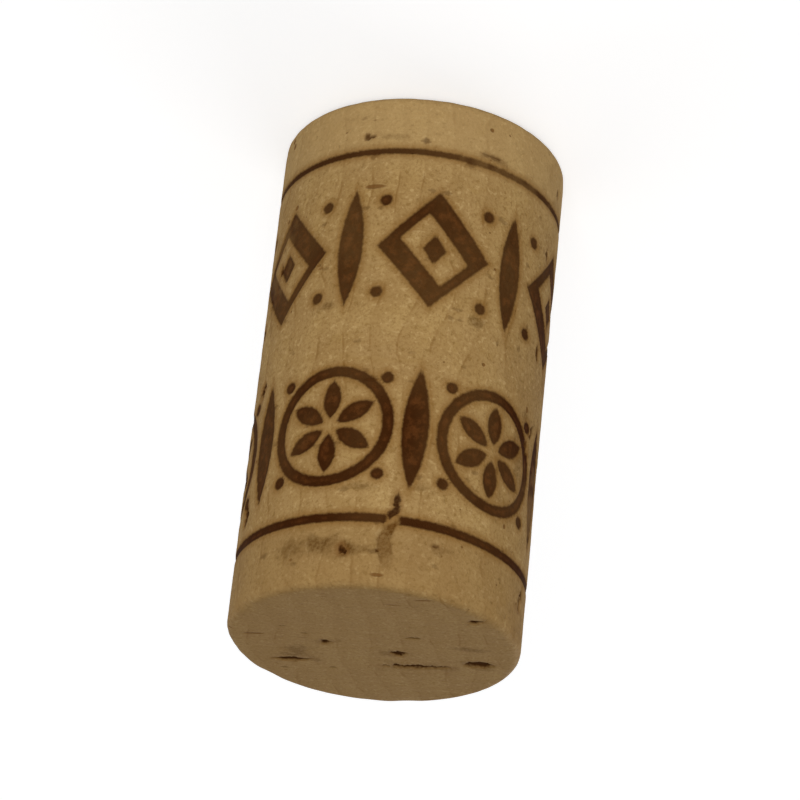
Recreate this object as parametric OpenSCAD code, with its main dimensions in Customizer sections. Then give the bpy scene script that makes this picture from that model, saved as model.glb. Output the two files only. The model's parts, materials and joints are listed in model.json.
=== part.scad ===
// Natural cork stopper for a still-wine bottle, standing on one end.
// One punched and ground piece of bark: a round plug with eased rims.
// The bark's breathing channels run nearly along X, through growth layers that
// lie square to them. The channels open as grooves across the grain on the front
// (-Y) and the back (+Y), and as short pits along the grain on the two flanks.
// Origin: centre of the lower end. +Z runs up the axis, in millimetres.

/* [Stopper] */
// Diameter of the stopper, before it is squeezed into a neck
cork_d = 24; // [20:0.5:30]
// Length of the stopper
cork_len = 45; // [33:1:54]
// Radius of the eased rim at each end
rim_r = 0.7; // [0.3:0.1:1.5]

/* [Split] */
// Turn of the split from the front, clockwise seen from above
split_turn = 3; // [-20:1:20]
// Length of the split, along the grain
split_len = 4; // [2:0.5:6]
// Width of the split at the skin
split_w = 1.2; // [0.8:0.1:1.6]
// Depth of the split
split_depth = 0.4; // [0.2:0.05:0.4]
// Distance from the upper end to the near end of the split
split_end_gap = 1.6; // [1.5:0.1:4]
// Length of the fine crack that runs on from the split
crack_len = 2.8; // [1:0.1:4]
// Width of that crack at the skin
crack_w = 0.6; // [0.4:0.05:0.8]
// Depth of that crack
crack_depth = 0.25; // [0.1:0.05:0.4]

/* [Pits] */
// Number of pits and grooves on the back and the flanks
pit_count = 24; // [0:1:40]
// Length of the smallest pit
pit_len_min = 0.9; // [0.6:0.1:1.5]
// Length of the largest pit
pit_len_max = 2.4; // [1.6:0.1:3.5]
// Width of a pit as a share of its length
pit_slimness = 0.45; // [0.35:0.05:0.7]
// Depth of a pit
pit_depth = 0.3; // [0.15:0.05:0.5]
// Bare length that is kept at each end of the stopper
pit_end_gap = 3; // [2.5:0.5:6]
// Part of the turn, centred on the back, that has pits
pit_sweep = 230; // [120:10:290]

/* [Channels] */
// Turn of the bark's channels from the X axis, counter-clockwise seen from above
channel_turn = 12; // [-30:1:30]
// Depth of a channel that lies open in an end face
end_groove_depth = 0.2; // [0.1:0.05:0.4]

/* [Hidden] */
$fn = 96;
cork_r = cork_d / 2;

// Flecks on the front, which lie across the grain: [turn in degrees, height, length, width,
// depth]. A height above zero counts from the lower end, and one below zero from the upper end.
FLECKS = [[-16, -3.1, 1.1, 0.9, 0.3], [20, -4.3, 1, 0.5, 0.12], [-24, 3.9, 1.5, 0.6, 0.15],
    [-1, 4.3, 1, 0.5, 0.1], [27, 4.4, 2.3, 0.5, 0.12]];

// Channels across an end face: [place along X, place along Y, length, width]. The places
// are shares of the radius, and the length and the width are in millimetres.
TOP_GROOVES = [[0.54, 0.37, 3.4, 0.7], [0.32, 0.01, 1.1, 0.7], [-0.18, 0.08, 1.3, 1.1],
    [-0.31, 0.27, 6.2, 0.6], [-0.73, 0.12, 2.8, 0.9], [-0.66, -0.6, 1.2, 0.5]];
FOOT_GROOVES = [[0.42, 0.3, 4.2, 0.6], [-0.15, 0.24, 2.4, 0.8], [-0.6, 0.34, 3.4, 0.6],
    [0.1, -0.4, 1.2, 0.8]];

// Golden-ratio steps, which give places that are even but never line up.
HEIGHT_STEP = 0.754878;
TURN_STEP = 0.569840;
LENGTH_STEP = 0.618034;
// Farther than this turn from where a channel lies lengthwise in the back, it is cut
// end on and opens along the grain.
END_ON_TURN = 48;
// How far the solid that cuts a slit stands out of the skin.
SLIT_PROUD = 0.2;

// The part of x after the decimal point.
function part_of(x) = x - floor(x);

// A slit along Z, pointed at both ends, to be cut in a skin at x = 0 with its solid at x < 0.
// Its outline is where two equal circles overlap.
module slit(length, width, depth) {
    r = (length * length + width * width) / (4 * width);
    rotate([0, 90, 0]) translate([0, 0, -depth]) linear_extrude(height = depth + SLIT_PROUD)
        intersection() {
            translate([0, width / 2 - r]) circle(r = r);
            translate([0, r - width / 2]) circle(r = r);
        }
}

// Carries its children to the skin, facing outwards. A turn of 0 is the front.
module on_skin(turn, height) {
    rotate([0, 0, -90 - turn]) translate([cork_r, 0, height]) children();
}

module split() {
    split_mid = cork_len - split_end_gap - split_len / 2;
    on_skin(split_turn, split_mid) slit(split_len, split_w, split_depth);
    // The crack starts inside the split, so that the two are one opening.
    overlap = split_w / 2;
    crack_mid = split_mid - (split_len + crack_len - overlap) / 2;
    on_skin(split_turn, crack_mid) slit(crack_len + overlap, crack_w, crack_depth);
}

module flecks() {
    for (f = FLECKS) {
        height = f[1] > 0 ? f[1] : cork_len + f[1];
        on_skin(f[0], height) rotate([90, 0, 0]) slit(f[2], f[3], f[4]);
    }
}

module pits() {
    room = cork_len - 2 * pit_end_gap;
    for (i = [1 : 1 : pit_count]) {
        height = pit_end_gap + room * part_of(i * HEIGHT_STEP);
        from_back = pit_sweep * (part_of(i * TURN_STEP) - 0.5);
        length = pit_len_min + (pit_len_max - pit_len_min) * part_of(i * LENGTH_STEP);
        lay = abs(from_back + channel_turn) > END_ON_TURN ? 0 : 90;
        on_skin(180 + from_back, height) rotate([lay, 0, 0])
            slit(length, length * pit_slimness, pit_depth);
    }
}

// Channels in the end face at this height, whose outward side is up (1) or down (-1).
module end_grooves(grooves, height, outward) {
    for (g = grooves)
        translate([g[0] * cork_r, g[1] * cork_r, height]) rotate([0, -90 * outward, channel_turn])
            slit(g[2], g[3], end_groove_depth);
}

module cork() {
    color("#a58557") difference() {
        rotate_extrude() {
            square([cork_r - rim_r, cork_len]);
            translate([0, rim_r]) square([cork_r, cork_len - 2 * rim_r]);
            for (z = [rim_r, cork_len - rim_r]) translate([cork_r - rim_r, z]) circle(r = rim_r);
        }
        split();
        flecks();
        pits();
        end_grooves(TOP_GROOVES, cork_len, 1);
        end_grooves(FOOT_GROOVES, 0, -1);
    }
}

cork();
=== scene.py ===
# %% [markdown]
# # A natural wine cork
# A wine cork is one plug of bark. A tube cutter punches it out of a strip of
# cork oak bark, a grinder trues its side and its ends, and a hot brand burns
# a print into it. Blender's part is the skin: the bark's pores and growth
# layers, the ground finish and the burnt print. The size and the place come
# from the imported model, which is loaded first and never moved.

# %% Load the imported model
import json
import math

import bpy
import numpy as np
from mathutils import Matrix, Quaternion, Vector

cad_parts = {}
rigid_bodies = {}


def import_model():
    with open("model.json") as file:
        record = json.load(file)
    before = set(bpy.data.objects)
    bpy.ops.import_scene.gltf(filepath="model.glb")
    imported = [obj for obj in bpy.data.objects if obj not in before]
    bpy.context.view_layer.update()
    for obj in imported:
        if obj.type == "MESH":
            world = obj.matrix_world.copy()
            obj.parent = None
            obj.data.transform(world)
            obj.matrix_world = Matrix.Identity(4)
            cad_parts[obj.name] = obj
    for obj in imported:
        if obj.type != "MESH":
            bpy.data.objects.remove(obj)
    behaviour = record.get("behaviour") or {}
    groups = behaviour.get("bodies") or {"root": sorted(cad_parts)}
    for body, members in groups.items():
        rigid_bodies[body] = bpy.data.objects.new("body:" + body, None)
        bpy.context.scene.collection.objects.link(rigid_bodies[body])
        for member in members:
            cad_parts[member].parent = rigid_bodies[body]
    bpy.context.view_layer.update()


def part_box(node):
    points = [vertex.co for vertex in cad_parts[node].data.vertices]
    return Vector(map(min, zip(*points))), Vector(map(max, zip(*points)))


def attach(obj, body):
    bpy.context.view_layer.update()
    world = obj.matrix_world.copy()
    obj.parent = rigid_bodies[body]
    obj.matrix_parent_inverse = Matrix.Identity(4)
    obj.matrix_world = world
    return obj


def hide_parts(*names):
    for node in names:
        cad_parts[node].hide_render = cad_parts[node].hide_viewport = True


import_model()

# %% [markdown]
# ## Sizes
# The cork is worked out in millimetres, which suit its size, and is turned to
# metres only when its mesh is made. The floor, the lamps and the camera are
# placed in metres, Blender's own unit. The radius and the length are read
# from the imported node, so the skin always fits the solid under it.

# %% The cork's own sizes
MM = 0.001
low_corner, high_corner = (np.array(corner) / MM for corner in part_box("cork"))
CORK_R = (high_corner[0] - low_corner[0]) / 2
CORK_LEN = high_corner[2] - low_corner[2]
RIM_R = 0.7
print(f"cork: {2 * CORK_R:.1f} mm across, {CORK_LEN:.1f} mm long")

# %% [markdown]
# ## The smooth body
# A round plug could be a cylinder with a Bevel modifier, but then the pores
# and the print have no points to sink. So the skin is a surface of
# revolution on a fine grid: one parameter runs along the outline from the
# centre of the lower end to the centre of the upper one, and the other runs
# round the axis. Cells of about 0.2 mm are small enough to carve a pore, and
# the whole skin stays under 200,000 triangles.

# %% The outline
AROUND = 320
SIDE_ROWS = 190
RIM_ROWS = 6
END_ROWS = 55


def outline():
    """Radius, height and outward direction along the outline, from the lower end to the upper.

    An end is a straight run of equal steps in radius. A rim is a quarter circle of radius
    RIM_R. The side is a straight run of equal steps in height.
    """
    flat = np.linspace(0, CORK_R - RIM_R, END_ROWS + 2)[1:-1]
    turn = np.linspace(-np.pi / 2, 0, RIM_ROWS)
    side = np.linspace(RIM_R, CORK_LEN - RIM_R, SIDE_ROWS + 2)[1:-1]
    radius = np.concatenate([flat, CORK_R - RIM_R + RIM_R * np.cos(turn)])
    height = np.concatenate([0 * flat, RIM_R + RIM_R * np.sin(turn)])
    out_r = np.concatenate([0 * flat, np.cos(turn)])
    out_z = np.concatenate([0 * flat - 1, np.sin(turn)])
    return (
        np.concatenate([radius, 0 * side + CORK_R, radius[::-1]]),
        np.concatenate([height, side, CORK_LEN - height[::-1]]),
        np.concatenate([out_r, 0 * side + 1, out_r[::-1]]),
        np.concatenate([out_z, 0 * side, -out_z[::-1]]),
    )


row_r, row_z, row_out_r, row_out_z = outline()
ROWS = len(row_r)
angle = np.linspace(0, 2 * np.pi, AROUND, endpoint=False)


def revolve(row_across, row_up):
    """Carries the outline's values round the whole turn, and adds a point at each pole.

    Each row of the outline becomes a ring: across times the cosine and the sine of the
    angle give X and Y, and up gives Z.
    """
    ring = np.stack(
        [
            np.outer(row_across, np.cos(angle)),
            np.outer(row_across, np.sin(angle)),
            np.outer(row_up, np.ones(AROUND)),
        ],
        axis=-1,
    )
    poles = [[0, 0, row_up[0]], [0, 0, row_up[-1]]]
    return np.concatenate([ring.reshape(-1, 3), poles])


skin = revolve(row_r, row_z)
outward = revolve(row_out_r, row_out_z)
print(f"smooth body: {ROWS} rings of {AROUND} points")

# %% [markdown]
# ## Places on the skin
# A mark on the side is easiest to place on the unrolled skin: how far round
# it lies from the front (-Y), as an arc in millimetres, and how high. The arc
# grows clockwise as seen from above, as the split's turn does in the solid.
# Marks on an end use plain X and Y.

# %% Unrolled coordinates
HALF_TURN = np.pi * CORK_R
turn = -np.pi / 2 - np.arctan2(skin[:, 1], skin[:, 0])
arc = (CORK_R * turn + HALF_TURN) % (2 * HALF_TURN) - HALF_TURN
height = skin[:, 2]
# A point belongs to the side or to an end by how far up or down it faces, and to neither
# round the middle of a rim.
on_side = np.abs(outward[:, 2]) < 0.5
on_top = outward[:, 2] > 0.9
on_foot = outward[:, 2] < -0.9
print(f"unrolled skin: {2 * HALF_TURN:.1f} mm round, {on_side.sum()} points on the side")

# %% [markdown]
# ## Smooth random fields
# Nothing on bark is straight or even, so most outlines and tones below are
# shifted by a smooth random field. A noise node in a material gives nothing
# back to the script, and the mesh needs the same kind of field as numbers. A
# sum of plane waves is quick, smooth, and the same on every run for a given
# seed.


# %% Waves and steps
def waves(size, seed, count=24):
    """A smooth random value at each point of the skin, mostly from -1 to 1.

    It is a sum of plane waves about one size long, each with its own direction and phase.
    """
    rng = np.random.default_rng(seed)
    ways = rng.normal(size=(count, 3))
    ways /= np.linalg.norm(ways, axis=1, keepdims=True)
    turns = 2 * np.pi / (size * rng.uniform(0.7, 1.5, count))
    phases = rng.uniform(0, 2 * np.pi, count)
    return np.sin(skin @ (ways.T * turns) + phases).sum(axis=1) / math.sqrt(count / 2)


def smooth_step(value, start, stop):
    """0 up to start, 1 from stop on, and an S-curve between them. start may be the larger one."""
    t = np.clip((value - start) / (stop - start), 0, 1)
    return t * t * (3 - 2 * t)


print("an S-curve from 0 to 1, in quarters:", smooth_step(np.linspace(0, 1, 5), 0, 1))

# %% [markdown]
# ## Pores and grooves
# Bark breathes through channels that run out through its growth layers. On
# this cork they run nearly along X. Cut end on, on a flank, a channel is a
# short pit; cut along its length, on the front, the back or an end, it is a
# groove or a dash. The solid has the large ones as clean slits, so the same
# rule places them here, and the skin gives them ragged edges. Boolean cuts
# would be clean and would break up the even grid, so an opening is a depth
# that the grid's own points sink by. It is a lens, the shape where two
# circles overlap, and its outline is roughened by shifting the place that it
# is measured at. Round a deep one the bark is powdery and brown, and that
# powder is kept as a field of its own.

# %% The fields that the openings fill in
# The largest distance that is kept. Beyond it, a point is simply far from every mark.
FAR_OFF = 3.0
opening = np.full(len(skin), FAR_OFF)
hollow = np.zeros(len(skin))
powder = np.zeros(len(skin))
# How far an outline strays, in long waves and in short ones.
LONG_STRAY, SHORT_STRAY = 0.1, 0.07
ragged_across = LONG_STRAY * waves(0.9, 11) + SHORT_STRAY * waves(0.45, 12)
ragged_along = LONG_STRAY * waves(1.1, 13) + SHORT_STRAY * waves(0.5, 14)
print(f"an outline strays by up to {np.abs(ragged_across).max():.2f} mm")

# %% One opening
PIT_DEPTH = 0.3
CHANNEL_TURN = math.radians(12)
# Distances from the outline between which an opening sinks to its full depth.
WALL_START, WALL_STOP = 0.08, -0.16
# Distances between which the powder thins out to nothing.
POWDER_START, POWDER_STOP = -0.1, 0.6
# A lens narrower than this strays less, so that the raggedness does not swallow it.
NARROW = 0.8


def lens(across, along, half_width, half_length):
    """Distance to a pointed oval, below zero inside it: the far one of two equal circles."""
    radius = (half_length**2 + half_width**2) / (2 * half_width)
    return np.hypot(np.abs(across) + radius - half_width, along) - radius


def carve(where, across, along, length, width, depth):
    """Sinks a ragged lens into the points that where picks."""
    ragged = min(1, width / NARROW)
    across, along = across + ragged * ragged_across[where], along + ragged * ragged_along[where]
    edge = lens(across, along, width / 2, length / 2)
    opening[where] = np.minimum(opening[where], edge)
    hollow[where] = np.maximum(hollow[where], depth * smooth_step(edge, WALL_START, WALL_STOP))
    dusty = depth / PIT_DEPTH * smooth_step(edge, POWDER_STOP, POWDER_START)
    powder[where] = np.maximum(powder[where], dusty)


def arc_from(turn_deg):
    """The arc to each point of the skin from the line this many degrees round from the front."""
    return (arc - np.radians(turn_deg) * CORK_R + HALF_TURN) % (2 * HALF_TURN) - HALF_TURN


def carve_side(turn_deg, up, length, width, depth, across_grain):
    """One opening in the side, at a turn from the front and a height."""
    round_it, along_it = arc_from(turn_deg), height - up
    reach = length + 1
    near = np.flatnonzero(on_side & (np.abs(round_it) < reach) & (np.abs(along_it) < reach))
    across, along = (along_it, round_it) if across_grain else (round_it, along_it)
    carve(near, across[near], along[near], length, width, depth)


def carve_end(end, x, y, length, width, depth):
    """One opening in an end, along the channels, at a place in shares of the radius."""
    face = np.flatnonzero(end)
    off_x, off_y = skin[face, 0] - x * CORK_R, skin[face, 1] - y * CORK_R
    along = off_x * math.cos(CHANNEL_TURN) + off_y * math.sin(CHANNEL_TURN)
    across = off_y * math.cos(CHANNEL_TURN) - off_x * math.sin(CHANNEL_TURN)
    carve(face, across, along, length, width, depth)


print(f"an opening's wall is about {WALL_START - WALL_STOP:.2f} mm wide")

# %% The openings that the solid has too
PIT_COUNT, PIT_LEN_MIN, PIT_LEN_MAX = 24, 0.9, 2.4
PIT_SLIMNESS, PIT_END_GAP, PIT_SWEEP = 0.45, 3.0, 230
HEIGHT_STEP, TURN_STEP, LENGTH_STEP = 0.754878, 0.569840, 0.618034
END_ON = math.sin(math.radians(48))


def is_lengthwise(turn_deg):
    """Whether the side at this turn from the front is cut along the channels, not across them."""
    return abs(math.sin(math.radians(turn_deg) + CHANNEL_TURN)) < END_ON


for i in range(1, PIT_COUNT + 1):
    up = PIT_END_GAP + (CORK_LEN - 2 * PIT_END_GAP) * (i * HEIGHT_STEP % 1)
    turn_deg = 180 + PIT_SWEEP * (i * TURN_STEP % 1 - 0.5)
    length = PIT_LEN_MIN + (PIT_LEN_MAX - PIT_LEN_MIN) * (i * LENGTH_STEP % 1)
    width = length * PIT_SLIMNESS
    carve_side(turn_deg, up, length, width, PIT_DEPTH, is_lengthwise(turn_deg))

FLECKS = [
    (-16, -3.1, 1.1, 0.9, 0.3), (20, -4.3, 1.0, 0.5, 0.12), (-24, 3.9, 1.5, 0.6, 0.15),
    (-1, 4.3, 1.0, 0.5, 0.1), (27, 4.4, 2.3, 0.5, 0.12),
]
for turn_deg, up, length, width, fleck_depth in FLECKS:
    carve_side(turn_deg, up % CORK_LEN, length, width, fleck_depth, True)

TOP_GROOVES = [
    (0.54, 0.37, 3.4, 0.7), (0.32, 0.01, 1.1, 0.7), (-0.18, 0.08, 1.3, 1.1),
    (-0.31, 0.27, 6.2, 0.6), (-0.73, 0.12, 2.8, 0.9), (-0.66, -0.6, 1.2, 0.5),
]
FOOT_GROOVES = [
    (0.42, 0.3, 4.2, 0.6), (-0.15, 0.24, 2.4, 0.8), (-0.6, 0.34, 3.4, 0.6), (0.1, -0.4, 1.2, 0.8),
]
END_GROOVE_DEPTH = 0.2
for grooves, end in ((TOP_GROOVES, on_top), (FOOT_GROOVES, on_foot)):
    for x, y, length, width in grooves:
        carve_end(end, x, y, length, width, END_GROOVE_DEPTH)
print(f"openings from the solid: {(hollow > 0.05).sum()} points sunk")

# %% The small pores, which only the skin has
SIDE_PORES, TOP_PORES, FOOT_PORES = 190, 5, 16
# The least length, width and depth of a pore, and the most.
PORE_LEN, PORE_W, PORE_DEPTH = (0.55, 1.85), (0.34, 0.54), (0.06, 0.22)
END_PORE_LEN, END_PORE_W, END_PORE_DEPTH = (0.6, 2.2), 0.36, (0.05, 0.17)
# How much longer a pore is where it is cut lengthwise.
LENGTHWISE_EXTRA = 0.3
# The front is the clean side of the bark: within this turn a pore keeps only this share of its
# depth, and of its length past the least.
CLEAN_TURN, CLEAN_SHARE = 60, 0.25
# Pores keep within these shares of the cork's length, and this share of an end's radius.
PORES_FROM, PORES_TO, PORES_REACH = 0.04, 0.96, 0.86
rng = np.random.default_rng(41)


def between(ends, share):
    """The value this share of the way from the first of two ends to the second."""
    return ends[0] + (ends[1] - ends[0]) * share


# Each size is drawn evenly from 0 to 1, and its square or cube makes most pores small.
for turn_deg, share, size in rng.uniform((-180, PORES_FROM, 0), (180, PORES_TO, 1), (SIDE_PORES, 3)):
    lengthwise = is_lengthwise(turn_deg)
    grow = CLEAN_SHARE if abs(turn_deg) < CLEAN_TURN else 1.0
    length = between(PORE_LEN, size**3 * grow) + LENGTHWISE_EXTRA * lengthwise
    width, pore_depth = between(PORE_W, size**2), between(PORE_DEPTH, size**2) * grow
    carve_side(turn_deg, share * CORK_LEN, length, width, pore_depth, lengthwise)
for end, count in ((on_top, TOP_PORES), (on_foot, FOOT_PORES)):
    for way, share, size in rng.uniform((0, 0, 0), (2 * np.pi, 1, 1), (count, 3)):
        out = PORES_REACH * math.sqrt(share)
        x, y = out * math.cos(way), out * math.sin(way)
        length, pore_depth = between(END_PORE_LEN, size**3), between(END_PORE_DEPTH, size**2)
        carve_end(end, x, y, length, END_PORE_W, pore_depth)
print(f"with the small pores: {(hollow > 0.05).sum()} points sunk")

# %% [markdown]
# ## The split
# The split is a drying crack. It starts as a narrow dark crack along the
# grain, steps aside at the printed rule, goes on as a brown tear, and opens
# towards the end into a shallow gouge where a sliver of bark has lifted out:
# steep along one edge, and running out to almost nothing at the other. The
# gouge's colour is painted shade, darkest where it starts beside the crack
# and at its steep edge. Each stroke is a lens laid along its own slanting
# line. What goes to the material is the distance to the outline, which stays
# smooth between the grid's points.

# %% Where the split runs
SPLIT_TURN, SPLIT_LEN, SPLIT_W, SPLIT_DEPTH, SPLIT_END_GAP = 3, 4.0, 1.2, 0.4, 1.6
CRACK_LEN, CRACK_W, CRACK_DEPTH = 2.8, 0.6, 0.25
split_low = CORK_LEN - SPLIT_END_GAP - SPLIT_LEN
# The split's outline strays less than a pore's.
SPLIT_STRAY = 0.6
off_round, off_up = arc_from(SPLIT_TURN) + SPLIT_STRAY * ragged_across, height - split_low


def slanted(start, end):
    """Places across and along the line from start to end, from its middle, and half its length.

    Both ends are given as the arc from the split's line and the height above the gouge's
    lower end. The places are the offset from the middle, taken square to the line and along it.
    """
    (x0, z0), (x1, z1) = start, end
    half = math.hypot(x1 - x0, z1 - z0) / 2
    way_x, way_z = (x1 - x0) / 2 / half, (z1 - z0) / 2 / half
    x, z = off_round - (x0 + x1) / 2, off_up - (z0 + z1) / 2
    return x * way_z - z * way_x, x * way_x + z * way_z, half


print(f"the solid's split: from {split_low - CRACK_LEN:.1f} mm to {split_low + SPLIT_LEN:.1f} mm up")

# %% The crack and the gouge
# Each open stroke of the crack: where it starts and ends, and its width.
CRACKS = [
    ((0.05, -CRACK_LEN - 0.1), (0.05, -0.8), CRACK_W),
    ((0.1, -1.5), (-0.6, -0.3), 0.9 * CRACK_W),
]
crack_edge = np.full(len(skin), FAR_OFF)
for start, end, width in CRACKS:
    across, along, half = slanted(start, end)
    crack_edge = np.minimum(crack_edge, lens(across, along, width / 2, half))
# Past the step the crack is a brown tear, not open to its floor, and leads into the gouge.
TEAR_W, TEAR_FADE = 0.8, 0.4
across, along, half = slanted((0.35, -0.5), (-0.8, 1.5))
tear_edge = lens(across, along, TEAR_W / 2, half)
tear_fades = 1 - TEAR_FADE * smooth_step(along / half, -0.1, 0.9)
# The sliver tore out a little longer and wider than the solid's clean slit.
GOUGE_LEN, GOUGE_W = SPLIT_LEN + 0.4, 1.2 * SPLIT_W
across, along, half = slanted((-0.75, 0), (-0.2, GOUGE_LEN))
gouge_edge = np.minimum(lens(across, along, GOUGE_W / 2, half), tear_edge)
crack_edge, gouge_edge, tear_edge = (
    np.where(on_side, np.minimum(edge, FAR_OFF), FAR_OFF) for edge in (crack_edge, gouge_edge, tear_edge)
)
# The part of the gouge's depth that is lost on its way out, across it and again along it.
RUN_OUT = 0.85
# Distances from the outline between which the split's walls go down.
SPLIT_WALL_START, CRACK_WALL_STOP, GOUGE_WALL_STOP = 0.1, -0.16, -0.2
# From 0 at the steep edge to 1 at the edge that runs out, and from -1 to 1 along the gouge.
over_gouge, along_gouge = across / GOUGE_W + 0.5, along / half
fades = 1 - RUN_OUT * smooth_step(along_gouge, -0.1, 1.0)
slope = (1 - RUN_OUT * smooth_step(over_gouge, 0.1, 0.9)) * fades
gouge = SPLIT_DEPTH * slope * smooth_step(gouge_edge, SPLIT_WALL_START, GOUGE_WALL_STOP)
open_edge = np.minimum(crack_edge, tear_edge)
crack = CRACK_DEPTH * smooth_step(open_edge, SPLIT_WALL_START, CRACK_WALL_STOP)
hollow = np.maximum(hollow, np.maximum(gouge, crack))
# The crack's lips are a little less powdery than a pit's, out to this far from the crack.
CRACK_POWDER, LIP = 0.8, 0.55
powder = np.maximum(powder, CRACK_POWDER * smooth_step(crack_edge, LIP, 0))
# How strongly the gouge is coloured, all of it painted shade: one share fades with its depth,
# and the other darkens its steep edge beside the crack. The tear is brown torn bark, coloured in
# full where it starts.
FADING_SHARE, SHADE_SHARE = 0.6, 0.25
painted_gouge_shade = smooth_step(over_gouge, 0.5, 0.0) * smooth_step(along_gouge, 0.5, -0.5)
tear_fill = tear_fades * smooth_step(tear_edge, 0.14, -0.12)
gouge_fill = np.maximum(FADING_SHARE * fades + SHADE_SHARE * painted_gouge_shade, tear_fill)
print(f"split: {(crack_edge < 0).sum()} points in the crack, {(gouge_edge < 0).sum()} in the gouge")

# %% [markdown]
# ## Stains
# Bark takes up brown stains from the sap and the dust in its channels, and
# the upper end is darker towards its rim. One large faint oval over a flank
# is painted warm shade, not a stain. A noise texture would put stains
# anywhere, and each of these has its place. A stain has no edge, so it
# is a soft oval whose distance is shifted by waves to break its outline.

# %% Stains
# Soft ovals on the side: arc, height, half sizes round and up in mm, and strength. A height
# below zero counts from the upper end.
STAINS_AND_FLANK_SHADE = [
    (-7.2, -3.7, 2.4, 1.0, 0.5), (-4.9, -3.6, 2.0, 1.1, 0.8), (-3.2, -3.3, 1.3, 0.8, 0.95),
    (-1.6, -3.2, 1.2, 0.4, 0.5),
    (4.9, -4.2, 1.1, 0.35, 0.35), (-2.6, -8.7, 1.2, 0.3, 0.5), (2.3, -9.1, 0.9, 0.3, 0.4),
    (-7.1, 19.6, 1.1, 0.35, 0.6), (5.8, 19.9, 0.8, 0.4, 0.6), (-2.9, 4.0, 1.2, 0.3, 0.4),
    # The last oval, large and faint, is painted warm shade over a flank, not a stain.
    (6.0, 4.5, 1.6, 0.4, 0.5), (12.4, 29.0, 1.6, 3.6, 0.6), (15.0, 24.0, 5.0, 18.0, 0.2),
]
# Soft ovals on the upper end, most of them the dust in and round its grooves: place along X
# and Y in mm, half sizes and strength.
END_STAINS = [
    (6.0, 3.0, 1.5, 1.2, 0.5), (3.8, 0.1, 1.0, 0.7, 0.3), (-1.3, 1.1, 1.1, 0.8, 0.35),
    (-2.2, 3.6, 1.9, 0.9, 0.25), (-5.2, 2.9, 1.9, 0.9, 0.25), (-8.8, 1.4, 1.9, 1.1, 0.35),
    (-7.6, -1.6, 1.5, 0.5, 0.5),
]
# An oval fades between these parts of its half sizes, and blur breaks its outline.
FADE_FROM, FADE_TO = 0.2, 1.3
blur = 0.25 * waves(1.6, 31) + 0.1 * waves(0.7, 32)


def soft_ovals(ovals, across, up, shown):
    """The strongest of several soft ovals at each point, and 0 where shown is false."""
    total = np.zeros(len(skin))
    for across_at, up_at, half_across, half_up, strength in ovals:
        reach = np.hypot((across - across_at) / half_across, (up - up_at) / half_up) + blur
        total = np.maximum(total, strength * smooth_step(reach, FADE_TO, FADE_FROM))
    return total * shown


stain = soft_ovals([(at, up % CORK_LEN, *rest) for at, up, *rest in STAINS_AND_FLANK_SHADE], arc, height, on_side)
stain += soft_ovals(END_STAINS, skin[:, 0], skin[:, 1], on_top)
# How much darker the upper end is, and how far below it that starts and is full.
UPPER_DARKENING, UPPER_DARKENING_START, UPPER_DARKENING_FULL = 0.38, 7.0, 4.5
handled = UPPER_DARKENING * smooth_step(CORK_LEN - height, UPPER_DARKENING_START, UPPER_DARKENING_FULL)
print(f"stains: {len(STAINS_AND_FLANK_SHADE) + len(END_STAINS)}, {(stain > 0.2).sum()} points")

# %% [markdown]
# ## The branded frieze
# The brand is a copper plate of raised lines, rolled over the cork while hot.
# This one prints a plain old pattern in a frame with round corners: a row of
# lozenges and darts, and above it a row of rosettes and darts. The frame's
# long sides are the two rules round the cork, and its short ones leave a bare
# strip at the back. An image laid round the cork would give only its colour,
# and curves cut into it only its depth. So each shape is a distance: a number
# that is below zero inside the line and grows outside it. One field of such
# distances gives the burnt colour, the scorched edge and the depth.

# %% Sizes of the frieze
ROW_A_MID, ROW_B_MID, ROW_HALF = 0.32 * CORK_LEN, 0.685 * CORK_LEN, 5.4
RULE_LOW, RULE_HIGH = 0.12 * CORK_LEN, 0.867 * CORK_LEN
RULE_LOW_W, RULE_HIGH_W = 0.55, 0.78
BARE_STRIP = 5.4
FRAME_HALF, FRAME_CORNER = HALF_TURN - BARE_STRIP / 2, 2.2
# One lozenge and one dart take this much of the way round. The shift is from the front.
REPEAT, FRIEZE_SHIFT = 14.3, 1.5
# A motif is left out where its middle would be this near to the frame's short side.
MOTIF_ROOM = 4.0
NOWHERE = 99.0
# The lozenge, with its two widths of line, and the small one inside it.
LOZENGE_HALF_W, THICK, THIN = 4.8, 1.9, 0.85
SEED_HALF_W, SEED_HALF = 1.0, 1.4
DART_HALF_W = 1.1
RING_R, RING_LINE = 4.9, 0.95
PETALS, PETAL_FROM, PETAL_TO, PETAL_HALF_W = 6, 0.7, 4.1, 0.78
# The dots, with their places beside a dart as offsets round and up.
DOT_R, DOT_ROUND, DOT_UP = 0.52, 2.7, 4.3
print(f"frieze: {2 * FRAME_HALF / REPEAT:.1f} repeats of {REPEAT} mm round the cork")


# %% The frieze's shapes
def ring(across, along, radius, line):
    """Distance to a circle drawn with a line of this width."""
    return np.abs(np.hypot(across, along) - radius) - line / 2


def lozenge(across, along, half_width, half_length):
    """Distance to a solid lozenge, the four straight edges taken together."""
    size = math.hypot(half_width, half_length)
    reach = np.abs(across) * half_length + np.abs(along) * half_width
    return (reach - half_width * half_length) / size


def pen_lozenge(across, along, half_width, half_length):
    """Distance to an open lozenge as a broad pen draws it, two sides thick and two thin.

    Each pair of sides is a strip. The hole is the same two strips, one made narrower
    by the thick line and the other by the thin line.
    """
    size = math.hypot(half_width, half_length)
    rising = np.abs(across * half_length - along * half_width) / size
    falling = np.abs(across * half_length + along * half_width) / size
    inner = half_width * half_length / size
    hole = np.maximum(rising - inner + THICK, falling - inner + THIN)
    return np.maximum(np.maximum(rising, falling) - inner, -hole)


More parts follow.
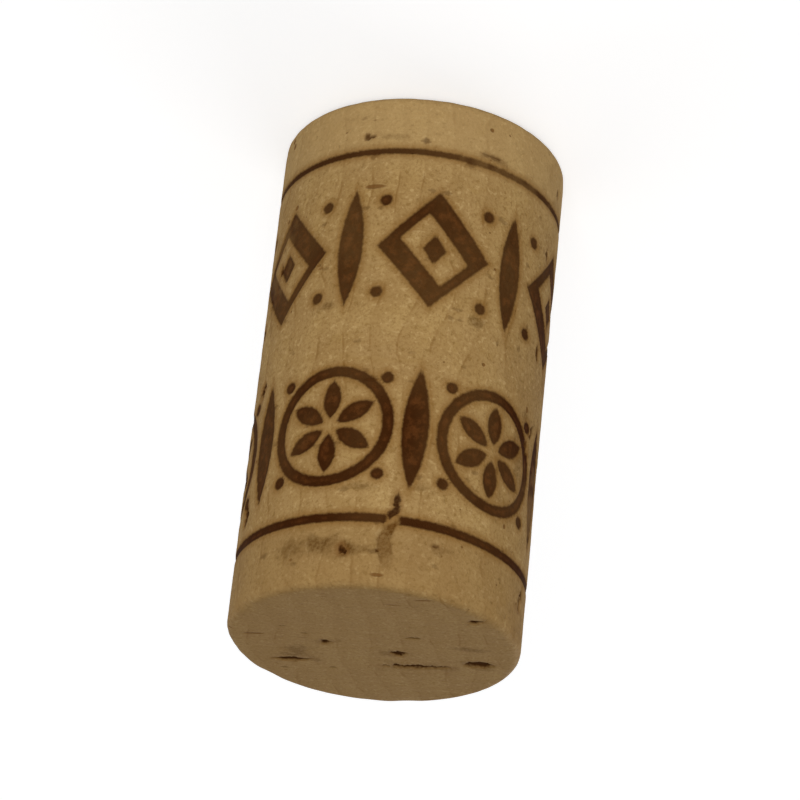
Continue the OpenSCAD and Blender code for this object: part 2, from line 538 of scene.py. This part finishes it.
def rosette(across, along):
    """Distance to a ring of lens petals: the turn is folded on to one petal, which points up."""
    step = 2 * np.pi / PETALS
    fold = (np.arctan2(across, along) + step / 2) % step - step / 2
    out = np.hypot(across, along)
    middle, half_length = (PETAL_TO + PETAL_FROM) / 2, (PETAL_TO - PETAL_FROM) / 2
    return lens(out * np.sin(fold), out * np.cos(fold) - middle, PETAL_HALF_W, half_length)


def dots(across, along):
    """Distance to four dots, at the corners of an oblong."""
    return np.hypot(np.abs(across) - DOT_ROUND, np.abs(along) - DOT_UP) - DOT_R


unrolled = (arc - FRIEZE_SHIFT + HALF_TURN) % (2 * HALF_TURN) - HALF_TURN


def repeated(offset):
    """The arc from the nearest repeat of the frieze, or nowhere if it would cross the frame."""
    place = unrolled - offset
    index = np.round(place / REPEAT)
    fits = np.abs(index * REPEAT + offset) < FRAME_HALF - MOTIF_ROOM
    return np.where(fits, place - index * REPEAT, NOWHERE)


# Row A has its darts half a repeat from its lozenges, and row B has them where A has lozenges.
at_lozenge, at_dart = repeated(0), repeated(REPEAT / 2)
fit_share = (at_lozenge[on_side] < NOWHERE).mean()
print(f"lozenges fit on {fit_share:.0%} of the way round")

# %% Draw the frieze as one field of distances
in_a, in_b = height - ROW_A_MID, height - ROW_B_MID
shapes = [
    pen_lozenge(at_lozenge, in_a, LOZENGE_HALF_W, ROW_HALF),
    lozenge(at_lozenge, in_a, SEED_HALF_W, SEED_HALF),
    lens(at_dart, in_a, DART_HALF_W, ROW_HALF),
    dots(at_dart, in_a),
    ring(at_dart, in_b, RING_R, RING_LINE),
    rosette(at_dart, in_b),
    lens(at_lozenge, in_b, DART_HALF_W, ROW_HALF),
    dots(at_lozenge, in_b),
]
frame_mid, frame_half = (RULE_LOW + RULE_HIGH) / 2, (RULE_HIGH - RULE_LOW) / 2
over_round = np.abs(unrolled) - FRAME_HALF + FRAME_CORNER
over_up = np.abs(height - frame_mid) - frame_half + FRAME_CORNER
corner = np.hypot(np.maximum(over_round, 0), np.maximum(over_up, 0))
to_frame = corner + np.minimum(np.maximum(over_round, over_up), 0) - FRAME_CORNER
rule_w = np.interp(height, [RULE_LOW, RULE_HIGH], [RULE_LOW_W, RULE_HIGH_W])
shapes.append(np.abs(to_frame) - rule_w / 2)
print(f"frieze: {len(shapes)} kinds of shape")

# %% Where the print is faint or missing
# The plate pressed less in these soft ovals: arc, height, half sizes and strength.
FAINT = [
    (8.5, 5.2, 4.5, 2.4, 0.3), (-15.0, 12.0, 2.5, 5.0, 0.35), (17.0, 33.0, 3.0, 4.0, 0.4),
    (-30.0, 30.0, 4.0, 3.0, 0.4), (31.0, 9.0, 3.5, 4.5, 0.45),
]
faint = soft_ovals(FAINT, arc, height, on_side)
# The lower row of motifs took less heat than the upper one: how faint it is, and the heights
# between which that sets in.
LOW_ROW_FAINT, FAINT_START, FAINT_FULL = 0.05, 25.0, 19.0
faint = np.maximum(faint, LOW_ROW_FAINT * on_side * smooth_step(height, FAINT_START, FAINT_FULL))

# Beside the crack a flap of bark lifted away from the hot plate, so the rule has an oval gap:
# its arc from the split, its height, its half sizes, and what turns shares of them into mm.
FLAP_ARC, FLAP_UP, FLAP_HALF_ARC, FLAP_HALF_UP, FLAP_MM = -0.15, RULE_HIGH + 0.1, 0.55, 0.6, 0.4
flap_across = (arc_from(SPLIT_TURN) - FLAP_ARC) / FLAP_HALF_ARC
flap_up = (height - FLAP_UP) / FLAP_HALF_UP
flap_edge = FLAP_MM * (1 - np.hypot(flap_across, flap_up))
print_edge = np.maximum(np.min(shapes, axis=0), flap_edge)
print_edge = np.where(on_side, np.clip(print_edge, -FAR_OFF, FAR_OFF), FAR_OFF)
print(f"frieze: {(print_edge < 0).sum()} points burnt")

# %% [markdown]
# ## Sink the skin
# The ground side is never quite true, the rims are worn, the brand sinks a
# little under a tenth of a millimetre, and the openings go down by up to four
# tenths. All of it moves the skin inwards, against its own outward direction,
# so the cork never grows past the solid. A Displace modifier could do the
# same, but the depths are numbers already, so the points are moved before
# they become a mesh.

# %% Depth of every point
# The most that each of these takes off the skin.
BRAND_DEPTH, RIM_WEAR, BOW, GRIND = 0.07, 0.09, 0.05, 0.012
# A burnt line's wall reaches this far to either side of its edge. A rim's wear is full this
# near to where its sharp corner would be, and ends this far from it.
BRAND_WALL, WEAR_FULL, WEAR_END = 0.12, 0.2, 1.6
bow = BOW / 2 * (1 + np.clip(waves(26, 21), -1, 1))
grind = GRIND / 2 * (1 + np.clip(waves(1.6, 22), -1, 1))
to_rim = np.hypot(CORK_R - np.hypot(skin[:, 0], skin[:, 1]), np.minimum(height, CORK_LEN - height))
# The wear comes in patches a few millimetres long.
worn_here = smooth_step(waves(6.0, 23) + 0.3 * waves(2.0, 24), 0, 2)
rim_wear = RIM_WEAR * smooth_step(to_rim, WEAR_END, WEAR_FULL) * worn_here
brand = BRAND_DEPTH * smooth_step(print_edge, BRAND_WALL, -BRAND_WALL)
depth = bow + grind + rim_wear + brand + hollow
print(f"deepest point: {depth.max():.2f} mm")


# %% Make the mesh
def closed_faces():
    """Quads between neighbouring rings, and a fan of triangles to the pole at each end."""
    grid = np.arange(ROWS * AROUND).reshape(ROWS, AROUND)
    beside = np.roll(grid, -1, axis=1)
    quads = np.stack([grid[:-1], beside[:-1], beside[1:], grid[1:]], axis=-1).reshape(-1, 4)
    foot, top = ROWS * AROUND, ROWS * AROUND + 1
    foot_fan = np.stack([beside[0], grid[0], np.full(AROUND, foot)], axis=-1)
    top_fan = np.stack([grid[-1], beside[-1], np.full(AROUND, top)], axis=-1)
    return quads.tolist() + foot_fan.tolist() + top_fan.tolist()


mesh = bpy.data.meshes.new("cork_skin")
mesh.from_pydata(((skin - outward * depth[:, None]) * MM).tolist(), [], closed_faces())
mesh.shade_smooth()
FIELDS = {
    "print_edge": print_edge,
    "opening": opening,
    "hollow": hollow,
    "powder": powder,
    "crack_edge": crack_edge,
    "gouge_edge": gouge_edge,
    "gouge_fill": gouge_fill,
    "stain": stain,
    "handled": handled,
    "faint": faint,
}
for name, values in FIELDS.items():
    mesh.attributes.new(name, "FLOAT", "POINT").data.foreach_set("value", values.astype(np.float32))
cork = bpy.data.objects.new("cork_skin", mesh)
bpy.context.scene.collection.objects.link(cork)
mesh.calc_loop_triangles()
print(f"cork_skin: {len(mesh.vertices)} points, {len(mesh.loop_triangles)} triangles")

# %% [markdown]
# ## The material: ground cork bark, fire branded
# Ground cork is matt, warm and fine grained. Its colour comes in layers, and
# each layer here is one mask and one colour, laid over the last: bark, growth
# layers, a lower end made paler by painted light, a darker upper end, stains
# with a painted warm shade over one flank, channels, scorch, brand, pores
# with painted shade on the floors of deep ones, and the split, whose gouge is
# painted shade. Patterns are measured in millimetres from Object coordinates,
# so they run through the cork as they do in bark and meet at the rims.


# %% Colour and node helpers
def linear(hex_colour):
    """An sRGB colour such as A58557 as the linear numbers that a shader takes."""
    channels = [int(hex_colour[i : i + 2], 16) / 255 for i in (0, 2, 4)]
    return [c / 12.92 if c <= 0.04045 else ((c + 0.055) / 1.055) ** 2.4 for c in channels] + [1.0]


def live(sockets, key):
    """The socket of this name, or at this place, among those that the node has switched on."""
    usable = [socket for socket in sockets if socket.enabled]
    return usable[key] if isinstance(key, int) else next(s for s in usable if s.name == key)


def add(tree, kind, name, inputs=None, **settings):
    """Adds a node under this name. settings are its own properties.

    An input given as a text is a link: the text is another node's name, for its first
    output, or that name, a full stop and the output's name.
    """
    node = tree.nodes.new("ShaderNode" + kind)
    node.name = node.label = name
    for setting, value in settings.items():
        setattr(node, setting, value)
    for key, value in (inputs or {}).items():
        if isinstance(value, str):
            source, _, output = value.partition(".")
            value_from = live(tree.nodes[source].outputs, output or 0)
            tree.links.new(value_from, live(node.inputs, key))
        else:
            live(node.inputs, key).default_value = value
    return node


def new_tree(block):
    """Gives a material or a world an empty node tree."""
    block.use_nodes = True
    block.node_tree.nodes.clear()
    return block.node_tree


print("A58557 as linear numbers:", [round(channel, 3) for channel in linear("A58557")])

# %% [markdown]
# A Map Range node with a smooth step makes each mask: sockets 0, 1 and 2 take
# the value and the range that it is read over, and 3 and 4 the mask's own
# range. A Math node takes its two values in sockets 0 and 1, and one that
# multiplies and adds takes what it adds in socket 2.

# %% Bark: places, and the patterns that nature made
bark = bpy.data.materials.new("ground_cork_bark_fire_branded")
tree = new_tree(bark)
SMOOTH = {"interpolation_type": "SMOOTHSTEP"}
add(tree, "TexCoord", "place")
add(tree, "VectorMath", "mm", {0: "place.Object", 1: (1000, 1000, 1000)}, operation="MULTIPLY")
# Turned back by the channels' turn, so that its X runs along the channels. A pattern
# that is squeezed along that X draws out into channels.
add(tree, "VectorRotate", "bark_mm", {"Vector": "mm", "Angle": -CHANNEL_TURN}, rotation_type="Z_AXIS")
CHANNEL_SQUEEZE = (0.16, 1, 0.8)
add(tree, "VectorMath", "channels", {0: "bark_mm", 1: CHANNEL_SQUEEZE}, operation="MULTIPLY")
add(tree, "SeparateXYZ", "xyz", {0: "bark_mm"})

# Name: the vector it reads, the size of its blobs in mm, its detail and its roughness. The cells
# of cork are only 0.04 mm across, too fine to show, so the grain is drawn as clumps of them.
NOISES = {
    "cloud": ("mm", 5.0, 3, 0.5),
    "grain": ("mm", 0.26, 3, 0.65),
    "speckle": ("mm", 0.42, 2, 0.5),
    "streak": ("channels", 0.7, 3, 0.6),
    "patch": ("channels", 2.2, 3, 0.55),
    "wave": ("mm", 9.0, 1, 0.5),
    "ripple": ("mm", 1.4, 2, 0.5),
    "edge_noise": ("mm", 0.35, 2, 0.5),
    "ember": ("mm", 0.9, 4, 0.65),
    "pressure": ("mm", 7.0, 1, 0.5),
}
for name, (vector, size, detail, roughness) in NOISES.items():
    inputs = {"Vector": vector, "Scale": 1 / size, "Detail": detail, "Roughness": roughness}
    add(tree, "TexNoise", name, inputs)
for name in FIELDS:
    add(tree, "Attribute", name, attribute_name=name)
print(f"bark: {len(NOISES)} noises and {len(FIELDS)} fields of the mesh")

# %% Bark: growth layers and fine channels
# One year's layer of growth in mm, and how far slow waves and small ripples shift it, in layers.
LAYER_GAP, LAYER_BEND, LAYER_RIPPLE = 2.5, 1.6, 0.16
add(tree, "Math", "layer_x", {0: "xyz.X", 1: LAYER_GAP}, operation="DIVIDE")
add(tree, "Math", "layer_bend", {0: "wave", 1: LAYER_BEND, 2: "layer_x"}, operation="MULTIPLY_ADD")
ripple_inputs = {0: "ripple", 1: LAYER_RIPPLE, 2: "layer_bend"}
add(tree, "Math", "layer_sum", ripple_inputs, operation="MULTIPLY_ADD")
add(tree, "Math", "in_layer", {0: "layer_sum"}, operation="FRACT")
add(tree, "MapRange", "late_growth", {0: "in_layer", 1: 0.2, 2: 0.92, 3: 0.0, 4: 0.5}, **SMOOTH)
add(tree, "MapRange", "layer_stop", {0: "in_layer", 1: 0.94, 2: 1.0, 3: 1.0, 4: 0.0}, **SMOOTH)
add(tree, "Math", "layer_tone", {0: "late_growth", 1: "layer_stop"}, operation="MULTIPLY")
add(tree, "MapRange", "layer_line", {0: "in_layer", 1: 0.86, 2: 0.95, 3: 0.0, 4: 0.5}, **SMOOTH)
add(tree, "MapRange", "line_gaps", {0: "patch", 1: 0.45, 2: 0.62}, **SMOOTH)
add(tree, "Math", "line_shown", {0: "layer_line", 1: "line_gaps"}, operation="MULTIPLY")
add(tree, "Math", "layer_edge", {0: "line_shown", 1: "layer_stop"}, operation="MULTIPLY")

CHANNEL_GAP = 1.1
add(tree, "TexVoronoi", "channel_cells", {"Vector": "channels", "Scale": 1 / CHANNEL_GAP})
add(tree, "MapRange", "channel_size", {0: "patch", 1: 0.48, 2: 0.75, 3: 0.0, 4: 0.2}, **SMOOTH)
add(tree, "Math", "to_channel", {0: "channel_cells", 1: "channel_size"}, operation="SUBTRACT")
add(tree, "MapRange", "fine_channel", {0: "to_channel", 1: 0.0, 2: 0.07, 3: 0.8, 4: 0.0}, **SMOOTH)
print("bark: growth layers and channels")

# %% Bark: masks for the brand, the pores and the tones
# The noise, from 0 to 1, shifts each outline by up to this much of a millimetre either way.
EDGE_SHIFT = 0.1
edge_inputs = {0: "edge_noise", 1: 2 * EDGE_SHIFT, 2: -EDGE_SHIFT}
add(tree, "Math", "edge_shift", edge_inputs, operation="MULTIPLY_ADD")
add(tree, "Math", "burn_at", {0: "print_edge.Fac", 1: "edge_shift"})
add(tree, "Math", "pore_at", {0: "opening.Fac", 1: "edge_shift"})
add(tree, "Math", "crack_at", {0: "crack_edge.Fac", 1: "edge_shift"})
add(tree, "Math", "gouge_at", {0: "gouge_edge.Fac", 1: "edge_shift"})
# Name: the value it reads, where it starts and stops, and its value at each of them.
MASKS = {
    "cloud_mask": ("cloud", 0.3, 0.7, 0.0, 1.0),
    "streak_mask": ("streak", 0.45, 0.8, 0.0, 0.5),
    "patch_mask": ("patch", 0.45, 0.8, 0.0, 0.4),
    "grain_mask": ("grain", 0.4, 0.68, 0.0, 0.65),
    "dark_speck": ("speckle", 0.6, 0.72, 0.0, 0.5),
    "pale_speck": ("speckle", 0.42, 0.3, 0.0, 0.6),
    "press": ("pressure", 0.3, 0.7, 0.86, 1.0),
    "burn": ("burn_at", -0.12, 0.14, 1.0, 0.0),
    "scorch": ("burn_at", 0.0, 0.75, 0.6, 0.0),
    "rim_of_burn": ("burn_at", -0.5, -0.1, 1.0, 0.0),
    "ember_mask": ("ember", 0.42, 0.68, 0.0, 0.8),
    "pore_edge": ("pore_at", -0.1, 0.08, 1.0, 0.0),
    "pore_halo": ("powder.Fac", 0.1, 1.0, 0.0, 0.6),
    "pore_depth": ("hollow.Fac", 0.02, 0.2, 0.35, 1.0),
    # How far the floor of a deep pit is darkened, as painted shade.
    "deep": ("hollow.Fac", 0.2, 0.3, 0.0, 0.8),
    "in_crack": ("crack_at", -0.12, 0.08, 1.0, 0.0),
    "in_gouge": ("gouge_at", -0.18, 0.1, 1.0, 0.0),
    # A paler band at the lower end is painted light.
    "painted_light_foot": ("xyz.Z", 8.0, 3.0, 0.0, 0.38),
    "stain_grain": ("grain", 0.35, 0.65, 0.7, 1.1),
    "crack_grain": ("grain", 0.38, 0.62, 0.88, 1.0),
}
for name, (source, start, stop, low, high) in MASKS.items():
    add(tree, "MapRange", name, {0: source, 1: start, 2: stop, 3: low, 4: high}, **SMOOTH)
add(tree, "Math", "full_press", {0: "press", 1: "faint.Fac"}, operation="SUBTRACT")
add(tree, "Math", "burnt", {0: "burn", 1: "full_press"}, operation="MULTIPLY")
add(tree, "Math", "stained_and_flank_shaded", {0: "stain.Fac", 1: "stain_grain"}, operation="MULTIPLY")
add(tree, "Math", "glow_through", {0: "ember_mask", 1: "rim_of_burn"}, operation="MULTIPLY")
add(tree, "Math", "pore", {0: "pore_edge", 1: "pore_depth"}, operation="MULTIPLY")
# Painted shade on the floor of a deep pit.
add(tree, "Math", "painted_pit_shade", {0: "pore_edge", 1: "deep"}, operation="MULTIPLY")
# Painted shade in the gouge, and the tear's own brown.
add(tree, "Math", "gouge_shade_and_tear_tone", {0: "gouge_fill.Fac", 1: "stain_grain"}, operation="MULTIPLY")
add(tree, "Math", "gouge_shade_and_tear_mask", {0: "in_gouge", 1: "gouge_shade_and_tear_tone"}, operation="MULTIPLY")
add(tree, "Math", "cracked", {0: "in_crack", 1: "crack_grain"}, operation="MULTIPLY")
print(f"bark: {len(MASKS)} masks")

# %% Bark: the colours, one over the other
brand_tones = {"Factor": "glow_through", "A": linear("361903"), "B": linear("562F11")}
add(tree, "Mix", "brand_tone", brand_tones, data_type="RGBA")
LAYERS = [
    ("cloud_mask", linear("A98A57")),
    ("patch_mask", linear("92703F")),
    ("streak_mask", linear("94743F")),
    ("layer_tone", linear("957546")),
    ("grain_mask", linear("8A6A3C")),
    ("pale_speck", linear("B69866")),
    ("dark_speck", linear("80602F")),
    ("layer_edge", linear("785426")),
    # Painted light: the lower end is paler.
    ("painted_light_foot", linear("B89A68")),
    # Darker towards the upper end.
    ("handled.Fac", linear("83643A")),
    # Stains, and a painted warm shade over one flank.
    ("stained_and_flank_shaded", linear("5B3D16")),
    ("fine_channel", linear("6A441C")),
    ("pore_halo", linear("7C562B")),
    ("scorch", linear("7A5423")),
    ("burnt", "brand_tone"),
    ("pore", linear("46280B")),
    # Painted shade: the floors of deep pits, nearly black.
    ("painted_pit_shade", linear("2C1704")),
    # The gouge's brown is painted shade, and the tear's is its own colour.
    ("gouge_shade_and_tear_mask", linear("5C3A10")),
    ("cracked", linear("381D05")),
]
under = linear("A08152")
for number, (mask, over) in enumerate(LAYERS):
    name = f"colour_{number + 1}"
    add(tree, "Mix", name, {"Factor": mask, "A": under, "B": over}, data_type="RGBA")
    under = name
print(f"bark: {len(LAYERS)} colour layers")

# %% Bark: relief and shader
# Heights in millimetres: how far each pattern stands up, or sinks where it is below zero.
RELIEF = {"grain": 0.05, "streak": 0.05, "dark_speck": -0.05, "fine_channel": -0.07, "burnt": -0.03}
relief = 0.0
for source, rise in RELIEF.items():
    name = f"relief_{source}"
    add(tree, "Math", name, {0: source, 1: rise, 2: relief}, operation="MULTIPLY_ADD")
    relief = name
add(tree, "Bump", "bumps", {"Height": relief, "Strength": 1.0, "Distance": MM})
# Ground cork with a trace of wax has a faint sheen, and char and open pores have none.
WAXED, CHARRED = 0.72, 0.92
add(tree, "Math", "dull", {0: "burnt", 1: "pore"}, operation="MAXIMUM")
add(tree, "MapRange", "roughness", {0: "dull", 3: WAXED, 4: CHARRED})
finish = {"Base Color": under, "Normal": "bumps", "Roughness": "roughness", "Specular IOR Level": 0.05}
add(tree, "BsdfPrincipled", "cork_shader", finish)
add(tree, "OutputMaterial", "out", {"Surface": "cork_shader"})
mesh.materials.append(bark)
print(f"bark: {len(tree.nodes)} nodes in all")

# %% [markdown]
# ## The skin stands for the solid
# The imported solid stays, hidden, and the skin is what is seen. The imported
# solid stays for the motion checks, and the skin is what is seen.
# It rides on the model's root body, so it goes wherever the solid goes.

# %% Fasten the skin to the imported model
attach(cork, "root")
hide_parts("cork")
print(f"{cork.name} stands for the node cork")

# %% [markdown]
# ## Floor and light
# The cork stands on a plain pale floor. The floor reflects as pale card does,
# and what the camera sees of it is lifted to white, so that the shadow stays
# and no lamp has to be too strong. Away from the cork it fades to the white
# of the sky, so that no edge shows. A soft lamp faces the front, two larger
# ones stand behind, to the left and to the right, and the sky fills in the rest.

# %% Floor
FLOOR_HALF = 1.5
FADE_START, FADE_STOP = 0.09, 0.4
# What the camera sees of the floor is brightened by this much.
FLOOR_LIFT = 0.56
floor_mesh = bpy.data.meshes.new("floor")
corners = [(x * FLOOR_HALF, y * FLOOR_HALF, 0) for x, y in ((-1, -1), (1, -1), (1, 1), (-1, 1))]
floor_mesh.from_pydata(corners, [], [(0, 1, 2, 3)])
floor = bpy.data.objects.new("floor", floor_mesh)
bpy.context.scene.collection.objects.link(floor)
# Uncoated pale card: pressed pulp with no glaze, so it is matt and shows only a soft shadow.
card = bpy.data.materials.new("pale_card")
tree = new_tree(card)
add(tree, "LightPath", "rays")
add(tree, "TexCoord", "place")
add(tree, "VectorMath", "from_cork", {0: "place.Object"}, operation="LENGTH")
add(tree, "MapRange", "far", {0: "from_cork.Value", 1: FADE_START, 2: FADE_STOP}, **SMOOTH)
add(tree, "Math", "faded", {0: "far", 1: "rays.Is Camera Ray"}, operation="MULTIPLY")
add(tree, "Math", "lift", {0: "rays.Is Camera Ray", 1: FLOOR_LIFT}, operation="MULTIPLY")
add(tree, "Emission", "lifted", {"Color": (1, 1, 1, 1), "Strength": "lift"})
add(tree, "BsdfDiffuse", "matt", {"Color": linear("DCDCDC")})
add(tree, "AddShader", "near_floor", {0: "lifted", 1: "matt"})
add(tree, "Emission", "far_floor", {"Color": (1, 1, 1, 1), "Strength": 1.0})
add(tree, "MixShader", "card_shader", {0: "faded", 1: "near_floor", 2: "far_floor"})
add(tree, "OutputMaterial", "out", {"Surface": "card_shader"})
floor_mesh.materials.append(card)
print(f"floor: {2 * FLOOR_HALF} m square, white from {FADE_STOP} m out")

# %% Lamps and sky
centre = Vector((0, 0, CORK_LEN / 2 * MM))
# Name: place from the cork's middle, side of the lamp, and power.
LAMPS = {
    "front": ((0.03, -0.6, 0.14), 0.28, 2.1),
    "back_left": ((-0.5, 0.8, 0.12), 0.7, 6.2),
    "back_right": ((0.6, 0.75, 0.12), 0.7, 3.0),
}
for name, (place, size, watts) in LAMPS.items():
    lamp = bpy.data.lights.new(name, "AREA")
    lamp.shape, lamp.size, lamp.energy = "SQUARE", size, watts
    stand = bpy.data.objects.new(name, lamp)
    stand.location = centre + Vector(place)
    stand.rotation_euler = (-Vector(place)).to_track_quat("-Z", "Y").to_euler()
    bpy.context.scene.collection.objects.link(stand)

HORIZON_LIGHT, ZENITH_LIGHT, SKY_SEEN = 0.79, 0.26, 1.0
sky = bpy.data.worlds.new("sky")
tree = new_tree(sky)
add(tree, "LightPath", "rays")
add(tree, "TexCoord", "place")
add(tree, "SeparateXYZ", "way", {0: "place.Generated"})
add(tree, "MapRange", "light", {0: "way.Z", 1: 0.0, 2: 0.9, 3: HORIZON_LIGHT, 4: ZENITH_LIGHT}, **SMOOTH)
add(tree, "MapRange", "strength", {0: "rays.Is Camera Ray", 3: "light", 4: SKY_SEEN})
add(tree, "Background", "air", {"Color": (1, 1, 1, 1), "Strength": "strength"})
add(tree, "OutputWorld", "out", {"Surface": "air"})
bpy.context.scene.world = sky
print(f"light: {len(LAMPS)} lamps and a pale sky")

# %% [markdown]
# ## Camera
# The camera looks down on the side at an angle that also shows the upper end.
# The cork is seen with that end towards the bottom of the view, as a cork
# that lies on a table pointing at the viewer, so the camera is rolled over.

# %% Camera
DISTANCE, ELEVATION, LEAN = 320 * MM, math.radians(26.5), math.radians(6.3)
LENS = 172
camera_data = bpy.data.cameras.new("camera")
camera_data.lens = LENS
camera_data.clip_start, camera_data.clip_end = 0.05, 10
camera = bpy.data.objects.new("camera", camera_data)
to_camera = Vector((0, -math.cos(ELEVATION), math.sin(ELEVATION)))
camera.location = centre + to_camera * DISTANCE
roll = Quaternion((0, 0, 1), LEAN - math.pi)
camera.rotation_mode = "QUATERNION"
camera.rotation_quaternion = (-to_camera).to_track_quat("-Z", "Y") @ roll
bpy.context.scene.collection.objects.link(camera)
bpy.context.scene.camera = camera
bpy.context.scene.view_settings.view_transform = "Standard"
print(f"camera: {DISTANCE / MM:.0f} mm away, {math.degrees(ELEVATION):.1f} degrees up")

# %% [markdown]
# ## Finish
# The skin must not be larger than the imported model. Last, the scene is
# brought up to date.

# %% Finish
bpy.context.view_layer.update()
